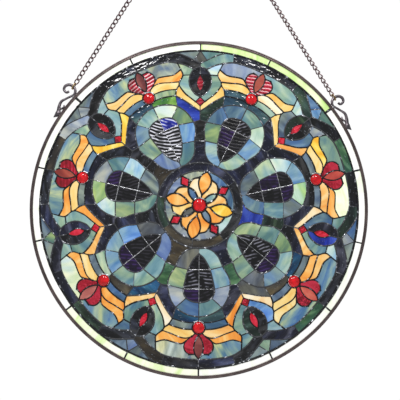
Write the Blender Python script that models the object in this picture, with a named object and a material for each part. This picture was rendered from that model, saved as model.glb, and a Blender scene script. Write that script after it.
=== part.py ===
"""Round stained-glass panel that hangs on two chains from one ring.

The origin is the top of the ring's eye, where it bears on its hook. The panel hangs straight
below in the XZ plane, with its front towards -Y.
The pattern is sevenfold: a lobe is drawn once, with its axis up, and turned into its seven places.
"""

import math

import bmesh
import bpy
from mathutils import Matrix, Vector

MILLIMETRE = 0.001

# Rim and border
RIM_RADIUS = 0.305
RIM_FACE = 0.0057
RIM_DEPTH = 0.0075
RIM_CHAMFER = 0.0012
BORDER_WIDTH = 0.0130
SIDES_PER_LOBE = 6

# Glass and solder
GLASS_DEPTH = 0.0030
LINE_WIDTH = 0.0028
LINE_DEPTH = 0.0050
CLEARANCE = 0.0003

# Round jewels
LOBE_JEWEL_RADIUS = 0.0100
CENTRE_JEWEL_RADIUS = 0.0115
JEWEL_RISE = 0.0055
JEWEL_SHOULDER_WIDTH = 0.85
JEWEL_SHOULDER_RISE = 0.55
JEWEL_SIDES = 8

# Hanging hardware
HOOK_TURN_LEFT = math.radians(49.4)
HOOK_TURN_RIGHT = math.radians(53.3)
HOOK_DEPTH = 0.0034
HOOK_BAR = 0.0034
CHAIN_HEIGHT = 0.605
LINK_PITCH = 0.0098
LINK_WIDTH = 0.0088
LINK_WIRE = 0.0018
WIRE_SWELL = 1.4
SEAT_REACH = 1.05
END_LINK_LEG = 0.62
RING_EYE = 0.0080
RING_WIRE = 0.0026
RING_SIDES = 12

# The pattern
LOBES = 7
FLOWER_PETALS = 4
FLOWER_TURN = math.radians(13)
DRAWN_RADIUS = 286.0
MEDALLION = 62.0
JEWEL_HEIGHT = 216.5

LOBE_TURN = 2 * math.pi / LOBES
CUSP_TURN = LOBE_TURN / 2
PATTERN_RADIUS = RIM_RADIUS - RIM_FACE - CLEARANCE - BORDER_WIDTH
SCALE = PATTERN_RADIUS / DRAWN_RADIUS
CENTRE_DROP = CHAIN_HEIGHT + RING_EYE
RIM_SIDES = LOBES * SIDES_PER_LOBE
LINE_HALF = LINE_WIDTH / 2


def at(across, up):
    """A point of the drawn pattern, in millimetres of the drawing, at its real place."""
    return Vector((across, up)) * SCALE


def cusp(radius, aside=0):
    """A drawn point along the axis between this lobe and the next, or aside of it in this lobe."""
    across = radius * math.sin(CUSP_TURN) - aside * math.cos(CUSP_TURN)
    up = radius * math.cos(CUSP_TURN) + aside * math.sin(CUSP_TURN)
    return at(across, up)


def turned(points, angle):
    """The points turned clockwise about the centre."""
    turn = Matrix.Rotation(-angle, 2)
    return [turn @ point for point in points]


def mirrored(points):
    """The points on the other side of the upright axis, in the opposite order."""
    return [Vector((-point.x, point.y)) for point in reversed(points)]


def circle(centre, radius, sides, first=0.0, last=2 * math.pi):
    """Points clockwise from the first angle to the last, both measured clockwise from the top."""
    closed = math.isclose(last - first, 2 * math.pi)
    steps = [first + (last - first) * step / sides for step in range(sides + (not closed))]
    return [centre + Vector((math.sin(angle), math.cos(angle))) * radius for angle in steps]


def arc(start, through, end, steps):
    """Points of the arc through the three, without its start."""
    a = start - end
    b = through - end
    double = 2 * (a.x * b.y - a.y * b.x)
    to_centre = Vector((b.y, -b.x)) * a.length_squared + Vector((-a.y, a.x)) * b.length_squared
    centre = end + to_centre / double
    radius = (end - centre).length
    begin = math.atan2(start.y - centre.y, start.x - centre.x)
    finish = math.atan2(end.y - centre.y, end.x - centre.x)
    if double > 0:
        sweep = (finish - begin) % (2 * math.pi)
    else:
        sweep = -((begin - finish) % (2 * math.pi))
    angles = [begin + sweep * step / steps for step in range(1, steps + 1)]
    return [centre + Vector((math.cos(angle), math.sin(angle))) * radius for angle in angles]


def inset(outline, distance):
    """A closed outline moved inwards, with its corners kept sharp."""
    following = outline[1:] + outline[:1]
    area = sum(here.x * after.y - here.y * after.x for here, after in zip(outline, following))
    inward = distance if area > 0 else -distance
    moved = []
    for before, here, after in zip(outline[-1:] + outline[:-1], outline, following):
        into = (here - before).normalized()
        out = (after - here).normalized()
        normals = Vector((-into.y - out.y, into.x + out.x))
        moved.append(here + normals * (inward / (1 + into.dot(out))))
    return moved


# Lines of the right half of a lobe

LOBE_JEWEL = at(0, JEWEL_HEIGHT)
LOBE_JEWEL_LINE = LOBE_JEWEL_RADIUS + CLEARANCE + LINE_HALF
JEWEL_NOTCH = math.radians(142)

PETAL_TOP = at(0, 197.5)
PETAL_SIDE = at(55.5, 142)
PETAL_WAIST = at(42, 109)
PETAL_FOOT = at(0, 76.5)
PETAL_HEAD_LINE = [PETAL_TOP, *arc(PETAL_TOP, at(41, 180), PETAL_SIDE, 3)]
PETAL_FOOT_LINE = [PETAL_WAIST, *arc(PETAL_WAIST, at(28, 86), PETAL_FOOT, 2)]

DROP_TOP = at(0, 173)
DROP_SIDE = at(26.5, 148)
DROP_FOOT = at(0, 87)
DROP_LINE = [
    DROP_TOP,
    *arc(DROP_TOP, at(22, 165), DROP_SIDE, 2),
    at(17, 110),
    DROP_FOOT,
]

SPACER_TOP = cusp(156)
FLAME_TIP = cusp(172.5)
FLAME_SHOULDER = at(46.4, 200.3)
ARCH_LINE = [
    *circle(LOBE_JEWEL, LOBE_JEWEL_LINE, 1, math.pi, JEWEL_NOTCH),
    FLAME_SHOULDER,
    *arc(FLAME_SHOULDER, at(59, 177.5), FLAME_TIP, 2),
]

FIELD_CORNER = at(73.5, 257)
SIDE_LINE = [
    FLAME_SHOULDER,
    at(59.2, 215.2),
    at(75.5, 230),
    FIELD_CORNER,
]

ALMOND_TIP = cusp(256)
SCALLOP_CUSP = cusp(262)
SCALLOP_START = 4 * math.pi / RIM_SIDES
BAND_TOP = at(0, 271)
BAND_LINE = [BAND_TOP, *arc(BAND_TOP, at(40, 268.5), FIELD_CORNER, 2), ALMOND_TIP]
SCALLOP_EDGE = circle(Vector((0, 0)), PATTERN_RADIUS, 2, 0.0, SCALLOP_START)
SCALLOP_LINE = [*SCALLOP_EDGE, *arc(SCALLOP_EDGE[-1], cusp(272, 20), SCALLOP_CUSP, 2)]
GUSSET_EDGE = circle(Vector((0, 0)), PATTERN_RADIUS, 1, SCALLOP_START, CUSP_TURN)


def whole(half):
    """A closed outline from the half right of the upright axis, which it starts and ends on."""
    return half + mirrored(half)[1:-1]


def cusp_whole(half):
    """A closed outline from the half on the lobe's side of the axis between two lobes."""
    return turned(whole(turned(half, -CUSP_TURN)), CUSP_TURN)


def all_round(half, turns=LOBES, turn=LOBE_TURN):
    """A line that follows the half line and its mirror image through every turn, clockwise."""
    there_and_back = half + turned(mirrored(half)[1:], turn)
    line = there_and_back[:1]
    for step in range(turns):
        line += turned(there_and_back[1:], step * turn)
    return line


def split_band(outer, inner):
    """A band between two closed lines, cut through where they start."""
    return outer + inner[::-1]


def flower_outline():
    """The four petals with their side leaves, cut open round the jewel in the middle."""
    half = [at(0, MEDALLION), at(10.5, 48), at(24, 36), at(25.5, 25.5)]
    outer = turned(all_round(half, FLOWER_PETALS, math.pi / 2), FLOWER_TURN)
    inner = circle(Vector((0, 0)), CENTRE_JEWEL_RADIUS + CLEARANCE + LINE_HALF, 8)
    return split_band(outer, turned(inner + inner[:1], FLOWER_TURN))


def ground_outline(number):
    """The ground between two petals of the flower, with its ruby square."""
    half = [at(25.5, 25.5), at(24, 36), at(10.5, 48), at(0, MEDALLION)]
    arch = circle(Vector((0, 0)), MEDALLION * SCALE, 4, 0.0, math.pi / 2)
    other_side = turned(mirrored(half), math.pi / 2)
    outline = half + arch[1:-1] + other_side[:-1]
    return turned(outline, FLOWER_TURN + number * math.pi / 2)


def shared_panes():
    """Name, outline and material of each pane that runs round the whole panel."""
    centre = Vector((0, 0))
    lobe_half = [*reversed(PETAL_FOOT_LINE), PETAL_SIDE, SPACER_TOP]
    rings = {
        "medallion_ring_and_spacers": ("dark glass", [
            all_round(lobe_half)[:-1],
            circle(centre, MEDALLION * SCALE, 2 * LOBES),
        ]),
        "arch_bands": ("dark glass", [
            all_round(ARCH_LINE)[:-1],
            all_round([*PETAL_HEAD_LINE, SPACER_TOP])[:-1],
        ]),
        "scallop_bands": ("dark glass", [
            all_round(SCALLOP_LINE)[:-1],
            all_round(BAND_LINE)[:-1],
        ]),
    }
    for name, (material, (outer, inner)) in rings.items():
        outline = split_band(outer + outer[:1], inner + inner[:1])
        yield name, turned(outline, math.pi), material
    yield "medallion_flower", flower_outline(), "amber glass"
    for number in range(FLOWER_PETALS):
        yield f"medallion_ground_{number + 1}", ground_outline(number), "grey blue glass"


def lobe_panes():
    """Name, outline and material of each pane of the lobe whose axis points up."""
    petal = whole(PETAL_HEAD_LINE + PETAL_FOOT_LINE)
    drop = whole(DROP_LINE)
    jewel_side = circle(LOBE_JEWEL, LOBE_JEWEL_LINE, 3, 0.0, JEWEL_NOTCH)
    field = whole([*jewel_side, *SIDE_LINE, *reversed(BAND_LINE[:2])])
    eye = cusp_whole([FLAME_TIP, ARCH_LINE[3], *SIDE_LINE, *BAND_LINE[3:]])
    gusset = cusp_whole([*GUSSET_EDGE[::-1], *SCALLOP_LINE[3:]])
    yield "petal_tiles", split_band(petal + petal[:1], drop + drop[:1]), "sea green glass"
    yield "petal_drop", drop, "dark ripple glass"
    yield "lobe_field", field, "sea green glass"
    yield "eye", eye, "amber glass"
    yield "gusset", gusset, "steel blue glass"


COLOURS = {
    "bronze metal": (0.075, 0.055, 0.045, 1, 0.45),
    "solder": (0.12, 0.12, 0.13, 1, 0.38),
    "cream glass": (0.85, 0.88, 0.70, 0, 0.12),
    "dark glass": (0.015, 0.018, 0.030, 0, 0.10),
    "dark ripple glass": (0.020, 0.012, 0.035, 0, 0.15),
    "sea green glass": (0.36, 0.55, 0.55, 0, 0.12),
    "steel blue glass": (0.13, 0.19, 0.28, 0, 0.12),
    "grey blue glass": (0.25, 0.30, 0.36, 0, 0.12),
    "amber glass": (0.90, 0.52, 0.12, 0, 0.12),
    "ruby glass": (0.55, 0.01, 0.03, 0, 0.08),
}


def material_of(name):
    """The Principled material of that name, made at its first use."""
    if name in bpy.data.materials:
        return bpy.data.materials[name]
    red, green, blue, metallic, roughness = COLOURS[name]
    material = bpy.data.materials.new(name)
    material.use_nodes = True
    shader = material.node_tree.nodes["Principled BSDF"]
    shader.inputs["Base Color"].default_value = (red, green, blue, 1)
    shader.inputs["Metallic"].default_value = metallic
    shader.inputs["Roughness"].default_value = roughness
    return material


def put(name, data, material, frame):
    """An object on the panel's frame, whose local XY plane is the plane of the glass."""
    made = bpy.data.objects.new(name, data)
    bpy.context.scene.collection.objects.link(made)
    made.parent = frame
    made.data.materials.append(material_of(material))
    return made


def sheet(name, outlines, depth, material, frame):
    """A flat piece of that depth, from closed outlines. Those inside another are holes."""
    curve = bpy.data.curves.new(name, "CURVE")
    curve.dimensions = "2D"
    curve.fill_mode = "BOTH"
    curve.extrude = depth / 2
    for outline in outlines:
        spline = curve.splines.new("POLY")
        spline.points.add(len(outline) - 1)
        spline.use_cyclic_u = True
        for point, place in zip(spline.points, outline):
            point.co = (place.x, place.y, 0, 1)
    return put(name, curve, material, frame)


def mesh_of(name, shape):
    """The mesh made from a bmesh, with its normals outwards and its round faces smooth."""
    bmesh.ops.recalc_face_normals(shape, faces=shape.faces)
    mesh = bpy.data.meshes.new(name)
    shape.to_mesh(mesh)
    shape.free()
    mesh.shade_smooth()
    mesh.set_sharp_from_angle(angle=math.radians(35))
    return mesh


def tube(shape, rings, closed):
    """Faces from each ring of points to the next, round a loop or with both ends filled."""
    corners = [[shape.verts.new(point) for point in ring] for ring in rings]
    pairs = list(zip(corners, corners[1:] + corners[:1]))
    for here, after in pairs if closed else pairs[:-1]:
        sides = zip(here, here[1:] + here[:1], after[1:] + after[:1], after)
        for side in sides:
            shape.faces.new(side)
    if not closed:
        shape.faces.new(corners[0])
        shape.faces.new(corners[-1])


def make_rim(frame):
    """The metal rim, a turned bar with its front outer corner taken off."""
    half = RIM_DEPTH / 2
    inner = RIM_RADIUS - RIM_FACE
    profile = [
        (inner, -half),
        (RIM_RADIUS, -half),
        (RIM_RADIUS, half - RIM_CHAMFER),
        (RIM_RADIUS - RIM_CHAMFER, half),
        (inner, half),
    ]
    shape = bmesh.new()
    places = [Matrix.Rotation(2 * math.pi * side / RIM_SIDES, 3, "Z") for side in range(RIM_SIDES)]
    tube(shape, [[place @ Vector((0, out, deep)) for out, deep in profile] for place in places], True)
    put("rim", mesh_of("rim", shape), "bronze metal", frame)


def make_jewel(name, centre, radius, frame):
    """A round jewel, domed at the front and flat at the back."""
    back = -GLASS_DEPTH / 2
    shoulder = (radius * JEWEL_SHOULDER_WIDTH, JEWEL_RISE * JEWEL_SHOULDER_RISE)
    shape = bmesh.new()
    rims = []
    for out, height in ((radius, back), shoulder):
        ring = circle(centre, out, JEWEL_SIDES)
        rims.append([shape.verts.new((place.x, place.y, height)) for place in ring])
    for below, above in zip(rims, rims[1:]):
        for side in zip(below, below[1:] + below[:1], above[1:] + above[:1], above):
            shape.faces.new(side)
    crown = shape.verts.new((centre.x, centre.y, JEWEL_RISE))
    for first, second in zip(rims[-1], rims[-1][1:] + rims[-1][:1]):
        shape.faces.new((first, second, crown))
    shape.faces.new(rims[0])
    put(name, mesh_of(name, shape), "ruby glass", frame)


def jewels():
    """Name, centre and radius of every round jewel."""
    yield "jewel_centre", Vector((0, 0)), CENTRE_JEWEL_RADIUS
    for number in range(LOBES):
        place = turned([LOBE_JEWEL], math.pi + number * LOBE_TURN)[0]
        yield f"jewel_{number + 1}", place, LOBE_JEWEL_RADIUS


def panes():
    """Name, outline and material of every pane, with the lobes numbered clockwise from the bottom."""
    yield from shared_panes()
    for number in range(LOBES):
        for name, outline, material in lobe_panes():
            yield f"{name}_{number + 1}", turned(outline, math.pi + number * LOBE_TURN), material


def make_glass_and_solder(frame):
    """The panes, and the solder lattice whose openings they fill."""
    lattice_edge = circle(Vector((0, 0)), PATTERN_RADIUS + LINE_HALF, RIM_SIDES)
    rim_edge = circle(Vector((0, 0)), RIM_RADIUS - RIM_FACE, RIM_SIDES)
    border = [inset(rim_edge, CLEARANCE), inset(lattice_edge, -CLEARANCE)]
    sheet("border_glass", border, GLASS_DEPTH, "cream glass", frame)
    openings = [lattice_edge]
    for name, outline, material in panes():
        openings.append(inset(outline, LINE_HALF))
        pane = inset(outline, LINE_HALF + CLEARANCE)
        sheet(name, [pane], GLASS_DEPTH, material, frame)
    for name, centre, radius in jewels():
        openings.append(circle(centre, radius + CLEARANCE, JEWEL_SIDES))
        make_jewel(name, centre, radius, frame)
    sheet("solder_lines", openings, LINE_DEPTH, "solder", frame)


HOOK_SCROLL = [
    (-1.0, 2.0, 0.9),
    (4.5, 2.6, 0.95),
    (9.6, 6.2, 1.0),
    (12.4, 13.4, 1.0),
    (9.8, 21.6, 0.95),
    (3.8, 25.2, 0.9),
    (-1.9, 23.2, 0.85),
    (-3.9, 18.4, 0.8),
    (-2.6, 14.6, 0.7),
    (1.2, 13.6, 0.5),
]
HOOK_LEAF = [
    (1.5, 2.4, 0.7),
    (-13.0, 8.8, 0.75),
    (-21.5, 12.0, 0.95),
    (-30.5, 9.8, 1.1),
    (-38.0, 5.6, 1.5),
    (-43.5, 4.0, 1.9),
    (-52.5, 7.0, 0.25),
]
HOOK_CURL = [
    (-34.0, 7.4, 0.7),
    (-31.5, 3.4, 0.7),
    (-27.0, 1.7, 0.7),
    (-23.6, 3.8, 0.5),
]
HOOK_HELD = HOOK_SCROLL[3]
HOOK_TOE = -42.5
HOOK_FOOT_LENGTH = 0.013
HOOK_FOOT_DEEP = 0.0024


def above_rim(angle, side, along, above):
    """The place that many millimetres along the rim from the angle, and above the rim."""
    turn = angle + along * side * MILLIMETRE / RIM_RADIUS
    return Vector((math.sin(turn), math.cos(turn))) * (RIM_RADIUS + above * MILLIMETRE)


def bar(name, points, widths, frame):
    """A flat bar through the points, with its width at each of them."""
    rings = []
    for number, (here, width) in enumerate(zip(points, widths)):
        ahead = points[min(number + 1, len(points) - 1)] - points[max(number - 1, 0)]
        across = Vector((-ahead.y, ahead.x)).normalized() * width / 2
        edges = [(here - across, -1), (here + across, -1), (here + across, 1), (here - across, 1)]
        rings.append([Vector((*edge, deep * HOOK_DEPTH / 2)) for edge, deep in edges])
    shape = bmesh.new()
    tube(shape, rings, False)
    return put(name, mesh_of(name, shape), "bronze metal", frame)


def foot(name, angle, frame):
    """A short bar that sits on the rim's flat side there."""
    side_turn = 2 * math.pi / RIM_SIDES
    middle = (math.floor(angle / side_turn) + 0.5) * side_turn
    flat = RIM_RADIUS * math.cos(side_turn / 2)
    along = flat * math.tan(angle - middle)
    up = flat + CLEARANCE + HOOK_FOOT_DEEP / 2
    ends = [Vector((along + way * HOOK_FOOT_LENGTH / 2, up)) for way in (-1, 1)]
    return bar(name, turned(ends, middle), [HOOK_FOOT_DEEP, HOOK_FOOT_DEEP], frame)


def make_hook(name, angle, side, frame):
    """A scroll that holds the chain and a leaf that lies along the rim, cast as one."""
    parts = []
    for word, stations in (("", HOOK_SCROLL), ("_leaf", HOOK_LEAF), ("_curl", HOOK_CURL)):
        points = [above_rim(angle, side, along, above) for along, above, _ in stations]
        widths = [HOOK_BAR * share for _, _, share in stations]
        parts.append(bar(name + word, points, widths, frame))
    toe_angle = angle + HOOK_TOE * side * MILLIMETRE / RIM_RADIUS
    parts.append(foot(f"{name}_foot", angle, frame))
    parts.append(foot(f"{name}_toe", toe_angle, frame))
    for part in parts[1:]:
        join(parts[0], part)


def join(main, other):
    """Adds the other object's shape to the main one, and leaves the other as a guide."""
    union = main.modifiers.new(other.name, "BOOLEAN")
    union.operation = "UNION"
    union.object = other
    other.hide_render = True
    other.display_type = "WIRE"


def strand(shape, port, stations, other_port):
    """A run of three-sided wire from one open triangle to another, through rings of new points."""
    rings = [port, *([shape.verts.new(point) for point in ring] for ring in stations), other_port]
    for here, after in zip(rings, rings[1:]):
        for side in zip(here, here[1:] + here[:1], after[1:] + after[:1], after):
            shape.faces.new(side)


def wire_ring(centre, outward, normal):
    """Three points round the wire, the first one on the outside of its link."""
    radius = LINK_WIRE / 2 * WIRE_SWELL
    turns = [2 * math.pi * side / 3 for side in range(3)]
    return [centre + (outward * math.cos(turn) + normal * math.sin(turn)) * radius for turn in turns]


def make_chain(name, hold, ring_centre, frame):
    """Links turned by a quarter in turn, joined where they bear on each other.

    The first goes round the hook's bar and the last round the ring, so their number is odd.
    """
    ahead = (ring_centre - hold).normalized()
    reach = LINK_WIRE * SEAT_REACH + CLEARANCE
    start = hold - ahead * (HOOK_BAR / 2 + reach)
    end = ring_centre - ahead * (RING_EYE * math.cos(math.pi / RING_SIDES) - reach)
    length = (end - start).length
    count = 2 * round((length / LINK_PITCH - 1) / 2) + 1
    pitch = length / count
    depth = Vector((0, 0, 1))
    across = ahead.cross(depth)
    half_width = (LINK_WIDTH - LINK_WIRE) / 2
    shape = bmesh.new()
    joints = []
    for number in range(1, count):
        place = start + ahead * number * pitch
        behind, before = (depth, across) if number % 2 else (across, depth)
        corners = [
            place - ahead * LINK_WIRE / 2 + before * LINK_WIRE / 2,
            place - ahead * LINK_WIRE / 2 - before * LINK_WIRE / 2,
            place + ahead * LINK_WIRE / 2 + behind * LINK_WIRE / 2,
            place + ahead * LINK_WIRE / 2 - behind * LINK_WIRE / 2,
        ]
        joints.append([shape.verts.new(corner) for corner in corners])
    for number, (here, after) in enumerate(zip(joints, joints[1:])):
        outward, normal = (across, depth) if number % 2 == 0 else (depth, across)
        middle = start + ahead * (number + 1.5) * pitch
        for side, first, last in ((1, here[0], after[2]), (-1, here[1], after[3])):
            ring = wire_ring(middle + outward * half_width * side, outward * side, normal)
            strand(shape, [first, here[2], here[3]], [ring], [last, after[0], after[1]])
    for joint, tip, way in ((joints[0], start, -ahead), (joints[-1], end, ahead)):
        shared, ports = (joint[:2], joint[2:]) if way == -ahead else (joint[2:], joint[:2])
        rings = []
        for side, back in ((1, END_LINK_LEG), (1, 0), (-1, 0), (-1, END_LINK_LEG)):
            place = tip - way * pitch * back + depth * half_width * side
            outward = depth * side if back else depth * side + way
            rings.append(wire_ring(place, outward, across))
        strand(shape, [ports[0], *shared], rings, [ports[1], *shared])
    put(name, mesh_of(name, shape), "bronze metal", frame)


def make_ring(centre, frame):
    """The ring at the top, a square bar bent round."""
    half = RING_WIRE / 2
    middle = RING_EYE + half
    corners = [(middle + half, half), (middle - half, half), (middle - half, -half)]
    corners.append((middle + half, -half))
    rings = []
    for side in range(RING_SIDES):
        turn = Matrix.Rotation(2 * math.pi * side / RING_SIDES, 3, "Z")
        rings.append([centre + turn @ Vector((0, out, deep)) for out, deep in corners])
    shape = bmesh.new()
    tube(shape, rings, True)
    put("hanging_ring", mesh_of("hanging_ring", shape), "bronze metal", frame)


def make_hanging(frame):
    """The hooks, the chains and the ring that the panel hangs by."""
    ring_centre = Vector((0, CHAIN_HEIGHT, 0))
    make_ring(ring_centre, frame)
    for side, angle, word in ((1, -HOOK_TURN_LEFT, "left"), (-1, HOOK_TURN_RIGHT, "right")):
        make_hook(f"hook_{word}", angle, side, frame)
        held = above_rim(angle, side, *HOOK_HELD[:2]).to_3d()
        make_chain(f"chain_{word}", held, ring_centre, frame)


def main():
    for old in list(bpy.data.objects):
        bpy.data.objects.remove(old)
    frame = bpy.data.objects.new("panel_frame", None)
    bpy.context.scene.collection.objects.link(frame)
    frame.location = (0, 0, -CENTRE_DROP)
    frame.rotation_euler = (math.pi / 2, 0, 0)
    make_rim(frame)
    make_glass_and_solder(frame)
    make_hanging(frame)


main()
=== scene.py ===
"""Round stained-glass panel: every pane, solder bead, jewel, hook and link, dressed over its solids."""

import math
import random

import bmesh
import bpy
from mathutils import Matrix, Vector


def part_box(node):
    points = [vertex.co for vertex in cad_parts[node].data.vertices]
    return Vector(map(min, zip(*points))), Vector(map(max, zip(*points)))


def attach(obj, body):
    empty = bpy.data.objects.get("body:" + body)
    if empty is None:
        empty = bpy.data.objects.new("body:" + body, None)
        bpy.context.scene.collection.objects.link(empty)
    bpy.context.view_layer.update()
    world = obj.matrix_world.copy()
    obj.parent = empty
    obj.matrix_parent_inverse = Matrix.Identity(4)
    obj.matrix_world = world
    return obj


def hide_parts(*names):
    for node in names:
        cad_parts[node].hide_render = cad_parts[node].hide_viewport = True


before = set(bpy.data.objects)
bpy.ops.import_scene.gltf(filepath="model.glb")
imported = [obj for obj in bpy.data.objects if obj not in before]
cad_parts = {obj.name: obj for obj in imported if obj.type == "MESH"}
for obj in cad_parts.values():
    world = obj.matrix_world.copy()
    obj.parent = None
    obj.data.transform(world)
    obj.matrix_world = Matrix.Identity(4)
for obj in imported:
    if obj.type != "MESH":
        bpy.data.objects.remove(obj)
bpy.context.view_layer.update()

bl_info = {
    "name": "Round Stained-Glass Panel",
    "version": (1, 0, 0),
    "blender": (4, 5, 0),
    "location": "View3D > Sidebar > Glass Panel",
    "description": "Makes the panes, solder, jewels, hooks and chains of a round hanging panel",
    "category": "Add Mesh",
}

MILLIMETRE = 0.001
LOBES = 7
LOBE_TURN = 2 * math.pi / LOBES
CUSP_TURN = LOBE_TURN / 2
FLOWER_PETALS = 4
FLOWER_PETAL_TURN = 2 * math.pi / FLOWER_PETALS
FLOWER_TURN = math.radians(13)
# Radius of the pattern inside the border, in millimetres
PATTERN = 286.0

rim_low, rim_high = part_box("rim")
CENTRE = (rim_low + rim_high) / 2
RIM_RADIUS = min(rim_high.x - rim_low.x, rim_high.z - rim_low.z) / 2
ring_low, ring_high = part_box("hanging_ring")
RING_CENTRE = (ring_low + ring_high) / 2
RING_OUTER = (ring_high.z - ring_low.z) / 2
RING_WIRE = 0.0026

# Sheets of glass: kind of surface, then the colours that run through the sheet
SHEETS = {
    "ivory": ("milk", (254, 254, 247), (255, 255, 252), (238, 247, 222)),
    "cream": ("milk", (246, 252, 220), (254, 255, 240), (218, 240, 172)),
    "lime": ("milk", (210, 234, 160), (240, 248, 208), (176, 218, 118)),
    "pear": ("opal", (178, 214, 150), (226, 240, 204), (134, 184, 134)),
    "leaf": ("opal", (172, 194, 122), (206, 220, 164), (138, 170, 112)),
    "pale": ("opal", (222, 234, 216), (246, 248, 236), (184, 208, 184)),
    "ice": ("opal", (194, 219, 226), (232, 240, 240), (152, 192, 210)),
    "mint": ("opal", (150, 180, 172), (198, 214, 194), (112, 150, 152)),
    "sea": ("opal", (112, 146, 150), (160, 184, 170), (80, 118, 132)),
    "sky": ("opal", (130, 164, 190), (182, 204, 208), (88, 132, 174)),
    "steel": ("opal", (90, 120, 152), (136, 162, 178), (56, 88, 132)),
    "slate": ("opal", (106, 120, 132), (142, 156, 162), (74, 88, 108)),
    "lilac": ("opal", (152, 160, 178), (190, 192, 196), (114, 126, 156)),
    "sage": ("opal", (146, 168, 136), (194, 206, 166), (108, 138, 130)),
    "moss": ("opal", (108, 138, 114), (150, 174, 130), (72, 104, 108)),
    "agate": ("opal", (178, 182, 160), (232, 232, 208), (112, 126, 140)),
    "tide": ("opal", (128, 158, 166), (200, 208, 164), (76, 116, 160)),
    "cornflower": ("opal", (108, 152, 214), (158, 192, 226), (72, 118, 190)),
    "periwinkle": ("opal", (118, 136, 172), (156, 170, 196), (86, 104, 156)),
    "smoke": ("opal", (96, 98, 102), (130, 130, 130), (66, 66, 72)),
    "amber": ("amber", (250, 174, 80), (253, 206, 128), (236, 140, 50)),
    "apricot": ("amber", (250, 196, 114), (253, 226, 168), (240, 164, 80)),
    "honey": ("amber", (250, 214, 132), (253, 236, 184), (242, 188, 94)),
    "gold": ("amber", (250, 212, 82), (254, 236, 144), (244, 178, 48)),
    "peach": ("amber", (252, 230, 184), (254, 244, 218), (246, 204, 146)),
    "brick": ("amber", (116, 54, 52), (144, 80, 74), (90, 38, 40)),
    "terracotta": ("amber", (156, 66, 54), (182, 96, 76), (126, 48, 42)),
    "rose": ("amber", (180, 102, 94), (206, 142, 128), (150, 76, 72)),
    "coral": ("amber", (190, 76, 64), (214, 114, 94), (160, 54, 50)),
    "cobalt": ("rolled", (30, 50, 162), (70, 96, 208), (16, 28, 100)),
    "azure": ("rolled", (26, 72, 110), (60, 118, 150), (10, 40, 72)),
    "teal": ("rolled", (54, 82, 96), (98, 128, 136), (26, 48, 62)),
    "grass": ("rolled", (92, 146, 60), (162, 204, 100), (40, 100, 58)),
    "emerald": ("rolled", (58, 98, 72), (112, 152, 116), (28, 58, 48)),
    "bottle": ("rolled", (34, 50, 42), (76, 98, 82), (14, 26, 22)),
    "navy": ("rolled", (27, 28, 48), (86, 88, 118), (8, 9, 18)),
    "black": ("rolled", (19, 19, 23), (68, 68, 78), (5, 5, 7)),
    "umber": ("rolled", (58, 50, 42), (104, 92, 74), (28, 24, 22)),
    # On the rippled and reeded sheets the light colour is painted highlight along the tops of the ripples,
    # near white where the stripes and dashes stand for strong reflections
    "black_ripple": ("ripple", (14, 13, 16), (44, 42, 50), (4, 4, 6)),
    "plum_ripple": ("ripple", (34, 15, 58), (58, 36, 92), (14, 6, 26)),
    "cobalt_ripple": ("ripple", (44, 56, 196), (222, 226, 250), (16, 24, 112)),
    "frost_ripple": ("ripple", (15, 14, 17), (126, 126, 138), (4, 4, 6)),
    "storm_ripple": ("ripple", (14, 13, 18), (232, 232, 242), (4, 4, 6)),
    "ruby": ("speckled", (192, 3, 32), (224, 54, 78), (126, 1, 16)),
    "garnet": ("speckled", (152, 4, 30), (196, 44, 68), (98, 1, 16)),
    "ruby_ripple": ("reeded", (178, 3, 34), (206, 48, 78), (112, 1, 18)),
}

# What each lobe is cut from, clockwise from the bottom one. Left is its anticlockwise side.
# Tiles and drops: the left half from the top down, then the right half.
TILES = (
    "sea lilac sky mint steel lilac sage smoke",
    "sea mint mint periwinkle sky sky cornflower smoke",
    "leaf ice sage sea lilac sea ice slate",
    "mint steel sage periwinkle pale moss cornflower sea",
    "steel steel moss sky sea pale sky mint",
    "sky ice mint slate pear slate sea steel",
    "mint moss sea sage steel smoke sage mint",
)
# Some drop sheets carry near-white painted highlights on their ripples, in stripes or in dashes
DROPS = (
    "black frost black plum frost black",
    "plum black black plum black black",
    "black black black plum black black",
    "storm storm storm cobalt storm storm",
    "black plum black frost black black",
    "black plum black plum black black",
    "plum frost frost plum frost black",
)
# Arches and scallops: round the lobe from its left end to its right one
ARCHES = (
    "navy teal azure navy",
    "azure umber mint navy",
    "navy navy navy black",
    "navy teal grass cobalt",
    "bottle teal teal navy",
    "navy black black navy",
    "navy azure umber smoke",
)
SCALLOPS = (
    "black navy black umber",
    "black bottle navy navy",
    "navy black umber lilac",
    "black black black black",
    "sea black black bottle",
    "black emerald black bottle",
    "navy black emerald navy",
)
# Fields: ground, outer leaf, inner leaf and inner ground on the left, then on the right, and the bud
FIELDS = (
    "tide amber apricot steel agate amber honey slate brick",
    "tide amber amber steel pale amber honey slate rose",
    "tide amber honey slate tide amber apricot steel terracotta",
    "tide apricot honey steel agate amber honey sage brick",
    "lilac apricot honey teal mint honey peach mint terracotta",
    "sage gold honey slate cream amber apricot slate coral",
    "tide apricot amber slate tide honey honey slate coral",
)
# The two crescents beside each lobe's bud
BUD_CRESCENTS = ("garnet", "garnet", "ruby_ripple", "ruby_ripple", "ruby_ripple", "garnet", "garnet")
# Eyes, to the right of each lobe: flame, crescent, almond and corner on its side, then on the other
EYES = (
    "peach mint black slate apricot sea black steel ruby",
    "apricot sea black mint amber mint navy mint ruby",
    "gold steel black mint gold mint black sky ruby",
    "honey mint black sage honey sea black ice ruby_ripple",
    "honey slate bottle ice apricot steel black lilac ruby",
    "peach steel navy sea apricot sea cobalt ice ruby",
    "peach cornflower black sky amber sea bottle sea ruby",
)
# Gussets, to the right of each lobe: on its side, the kite, on the other side
GUSSETS = (
    "slate periwinkle slate",
    "slate moss slate",
    "slate lilac slate",
    "slate smoke sea",
    "steel sky moss",
    "steel lilac slate",
    "slate sage slate",
)
LOBE_TABLES = (TILES, DROPS, FIELDS, EYES, GUSSETS)
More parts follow.
